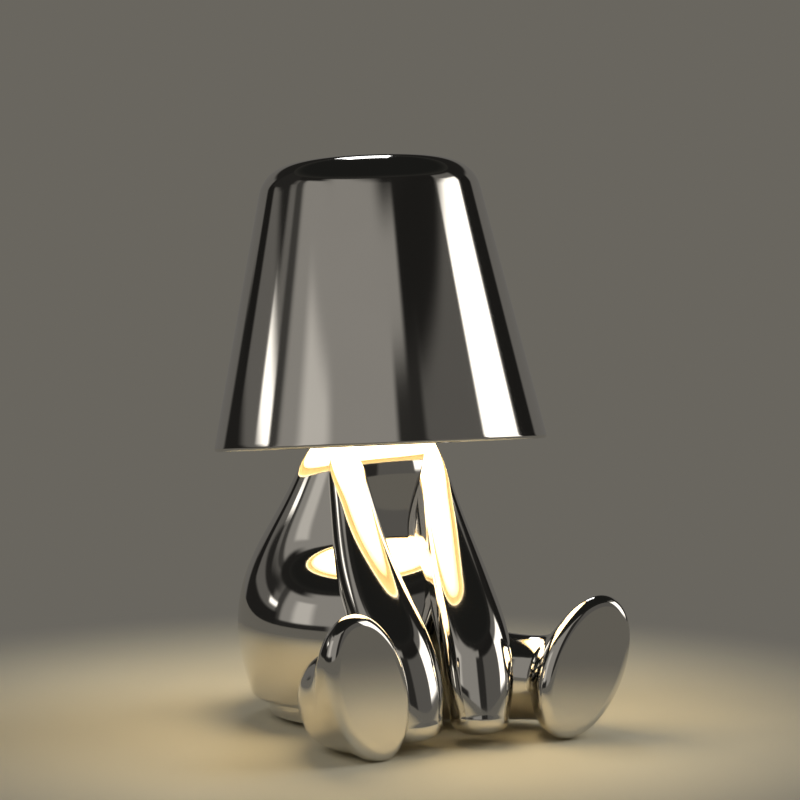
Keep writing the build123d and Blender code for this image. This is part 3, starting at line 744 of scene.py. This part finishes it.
def lampRings():
    low, high = lamp["low"], lamp["low"] + lamp["thickness"]
    hole, edge = lamp["hole"], insideRadius(high) - lamp["edgeGap"]
    corners = [(hole, low), (edge, low), (edge, high), (hole, high)]
    panel = roundedOutline(corners, [lamp["panelEdge"]] * 4, steps=6)
    ringLow = low - lamp["ringHeight"]
    outerLow, outerHigh = insideRadius(ringLow) - lamp["ringGap"], insideRadius(low) - lamp["ringGap"]
    inner = outerHigh - lamp["ringWidth"]
    outside, inside = lamp["ringEdges"]
    corners = [(outerLow, ringLow), (outerHigh, low), (inner, low), (inner, ringLow)]
    ring = roundedOutline(corners, [outside, 0, 0, inside], steps=8)
    made = []
    for name, outline in (("diffuserPanel", panel), ("diffuserRing", ring)):
        points = lathe(finely(outline, shade["step"]), shade["around"])
        made.append(surface(name, toHead(points), loop=True))
    return made


dress(shadeSkin(), "head", "chrome_plate", linedChrome, "shade_shell")
diffuserPanel, diffuserRing = lampRings()
dress(diffuserPanel, "head", "opal", opalFinish("opalPanel"), "diffuser")
# the white plastic ring gets the panel's emission: a painted glow standing in for the diffuser's light
# shining on it and through it
dress(diffuserRing, "head", "white_plastic", opalFinish("ringPaintedGlow"), "diffuser_ring")
print("shade and light built")


# Base pad with shallow grooves

pad = {
    "radius": 20.0,
    "thickness": 2.0,
    "edge": 0.6,
    "rounding": 0.54,
    "grooves": 4,
    "grooveDepth": 0.35,
    "rings": 90,
    "around": 128,
}


def padSkin():
    # underside lifted by a raised cosine at each groove
    radius = np.linspace(0, pad["radius"] - pad["edge"], pad["rings"])
    wave = np.cos(2 * np.pi * radius / pad["radius"] * pad["grooves"])
    under = np.stack([radius, pad["grooveDepth"] * np.clip(-wave, 0, 1) ** 2], -1)
    outer, top = pad["radius"], pad["thickness"]
    side = roundedOutline([under[-1], (outer, 0), (outer, top), (0, top)], [0, pad["rounding"], 0, 0])
    return surface("basePad", lathe(np.concatenate([under, side[1:]]), pad["around"]))


dress(padSkin(), "figure", "rubber", finishes["softRubber"], "base_pad")
print("base pad built")


# Stage: floor, reflected studio and lights

studio = {
    "backdrop": (0.142, 0.133, 0.114),
    "zenith": (0.012, 0.012, 0.011),
    "floor": (0.80, 0.735, 0.555),
    "floorRadius": (0.05, 9.0),      # metres, its first and last ring
    "floorRings": 60,
    "floorAround": 128,
    "floorZ": -0.15,                 # mm, just under the lamp
    "floorFade": (0.10, 0.22),       # metres from the lamp where the floor goes over into the backdrop
    "viewAzimuth": -27.0,
    "lightColour": (1.0, 0.95, 0.87),
    "screenRadius": 1.6,
    "screenTop": 1.5,
    "screenRows": 64,
    "screenAround": 720,
    # soft boxes, walls and flags that the chrome mirrors: from and to in degrees right of the camera,
    # from and to in metres of height, brightness, soft edge in degrees and in metres
    "cards": [
        (-76, 23, -1, 9, 0.275, 6, 0.1),
        (-60, -38, -1, 0.90, 0.55, 10, 0.1),
        (-86, -78, -1, 9, 0.05, 4, 0.1),
        (-98, -85, 0.48, 0.60, 1.9, 3, 0.10),
        (-120, -98, -1, 9, 0.13, 6, 0.1),
        (-134, -120, -1, 9, 0.012, 4, 0.1),
        (23, 77, -1, 9, 0.013, 5, 0.1),
        (12, 36, -1, 1.08, 0.025, 5, 0.1),
        (33, 77, -1, 1.03, 0.105, 5, 0.08),
        (78, 111, 0.1, 1.0, 1.9, 2.5, 0.14),
        (113, 134, -1, 9, 0.012, 4, 0.1),
        (-115, -20, -1, 0.16, 0.02, 12, 0.06),
        (-137, -82, -1, 0.35, 0.015, 6, 0.08),
        (-190, -90, 0.85, 9, 0.015, 20, 0.16),
        (110, 190, 0.85, 9, 0.015, 8, 0.16),
        (-100, -50, 1.16, 9, 0.015, 24, 0.14),
        (6, 40, 1.28, 9, 0.015, 18, 0.10),
        (-190, 190, 1.36, 9, 0.015, 1, 0.14),
        (-128, -94, 0.64, 9, 0.02, 6, 0.08),
    ],
    "behind": 0.14,
    # degrees right of the camera, degrees up, metres away, metres wide and high, radiance, seen in chrome
    "lights": {
        "softBoxRight": (100, 35, 1.5, 1.0, 1.2, 2.0, False),
        "softBoxLeft": (-70, 40, 1.5, 1.2, 1.0, 1.15, False),
        "topBack": (-176, 52, 1.3, 0.28, 0.36, 4.0, True),
    },
    "lightAim": 0.08,
    "skyFade": (0.25, 0.75),         # sine of the elevation where the backdrop goes over into the zenith
}


def buildFloor():
    first, last = studio["floorRadius"]
    radius = np.concatenate([[0], np.geomspace(first, last, studio["floorRings"])]) / mm
    outline = np.stack([radius, np.full_like(radius, studio["floorZ"])], -1)
    floor = surface("floor", lathe(outline, studio["floorAround"]))
    material, tree = newFinish("paleFloor")
    place = tree.objectPlace()
    fade = tree.smoothShare(tree.vectorMath("LENGTH", place), *studio["floorFade"])
    paint = {"Base Color": (*studio["floor"], 1), "Roughness": 0.75, "Specular IOR Level": 0.2}
    lit = tree.add("ShaderNodeBsdfPrincipled", {}, paint)[0]
    plain = tree.add("ShaderNodeEmission", {}, {"Color": (*studio["backdrop"], 1)})[0]
    both = tree.add("ShaderNodeMixShader", {}, {0: fade, 1: lit, 2: plain})[0]
    tree.add("ShaderNodeOutputMaterial", {}, {"Surface": both})
    floor.data.materials.append(material)


def smoothStep(value, middle, width):
    # 3 s^2 - 2 s^3 from 0 to 1 across the given width
    share = np.clip((value - middle) / width + 0.5, 0, 1)
    return share ** 2 * (3 - 2 * share)


def buildScreens():
    # a round screen that only reflections see, with each card painted over those before it
    right = np.linspace(-180, 180, studio["screenAround"], endpoint=False)[None]
    height = np.linspace(0, studio["screenTop"], studio["screenRows"])[:, None]
    azimuth = np.radians(right + studio["viewAzimuth"])
    radius = studio["screenRadius"]
    x, y = radius * np.sin(azimuth), -radius * np.cos(azimuth)
    points = np.stack([x + 0 * height, y + 0 * height, height + 0 * azimuth], -1)
    screen = surface("studioScreen", points / mm)
    glow = np.full(points.shape[:2], studio["behind"])
    for left, end, low, high, brightness, softTurn, softRise in studio["cards"]:
        across = smoothStep(right, left, softTurn) - smoothStep(right, end, softTurn)
        up = smoothStep(height, low, softRise) - smoothStep(height, high, softRise)
        glow = glow + across * up * (brightness - glow)
    colours = glow[..., None] * np.array([*studio["lightColour"], 1.0])
    layer = screen.data.attributes.new("glow", "FLOAT_COLOR", "POINT")
    layer.data.foreach_set("color", colours.astype(np.float32).ravel())
    material, tree = newFinish("studioScreen")
    glowing = tree.add("ShaderNodeAttribute", {"attribute_name": "glow"}, {})[0]
    shader = tree.add("ShaderNodeEmission", {}, {"Color": glowing})[0]
    tree.add("ShaderNodeOutputMaterial", {}, {"Surface": shader})
    screen.data.materials.append(material)
    screen.visible_camera = False
    screen.visible_diffuse = False
    screen.visible_shadow = False


def areaLight(name, azimuth, elevation, distance, width, height, radiance, mirrored):
    # power of a flat lamp from its radiance: pi times radiance times area
    light = bpy.data.lights.new(name, "AREA")
    light.shape = "RECTANGLE"
    light.size = width
    light.size_y = height
    light.energy = math.pi * radiance * width * height
    holder = bpy.data.objects.new(name, light)
    bpy.context.scene.collection.objects.link(holder)
    turn = math.radians(azimuth + studio["viewAzimuth"])
    rise = math.radians(elevation)
    away = Vector((math.sin(turn) * math.cos(rise), -math.cos(turn) * math.cos(rise), math.sin(rise)))
    holder.location = Vector((0, 0, studio["lightAim"])) + away * distance
    holder.rotation_mode = "QUATERNION"
    holder.rotation_quaternion = away.to_track_quat("Z", "Y")
    holder.visible_camera = False
    holder.visible_glossy = mirrored


def buildWorld():
    world = bpy.data.worlds.new("studioAir")
    bpy.context.scene.world = world
    tree = NodeTree(world)
    direction = tree.add("ShaderNodeTexCoord", {}, {})[0]
    rise = tree.add("ShaderNodeSeparateXYZ", {}, {0: direction})[2]
    sky = tree.blend(tree.smoothShare(rise, *studio["skyFade"]), studio["backdrop"], studio["zenith"])
    back = tree.add("ShaderNodeBackground", {}, {"Color": sky})[0]
    tree.add("ShaderNodeOutputWorld", {}, {"Surface": back})


cameraView = {
    "distance": 719.0,              # level distance in mm from the middle of the shade's mouth
    "height": 147.6,
    "heading": -27.49,
    "pitch": -3.68,
    "lens": 103.5,
    "sensor": 36.0,
    "aimY": -12.0,
    "nearest": 10.0,                # mm from the lens where the view starts
}


def buildCamera():
    view = cameraView
    turn = math.radians(studio["viewAzimuth"])
    camera = bpy.data.objects.new("camera", bpy.data.cameras.new("camera"))
    bpy.context.scene.collection.objects.link(camera)
    x, y = view["distance"] * math.sin(turn), view["aimY"] - view["distance"] * math.cos(turn)
    camera.location = Vector((x, y, view["height"])) * mm
    heading, pitch = math.radians(view["heading"]), math.radians(view["pitch"])
    level = math.cos(pitch)
    ahead = Vector((-math.sin(heading) * level, math.cos(heading) * level, math.sin(pitch)))
    camera.rotation_mode = "QUATERNION"
    camera.rotation_quaternion = ahead.to_track_quat("-Z", "Y")
    camera.data.lens = view["lens"]
    camera.data.sensor_width = view["sensor"]
    camera.data.clip_start = view["nearest"] * mm
    bpy.context.scene.camera = camera


buildFloor()
buildScreens()
buildWorld()
for name, values in studio["lights"].items():
    areaLight(name, *values)
buildCamera()
bpy.context.scene.view_settings.view_transform = "Standard"
print("stage set")
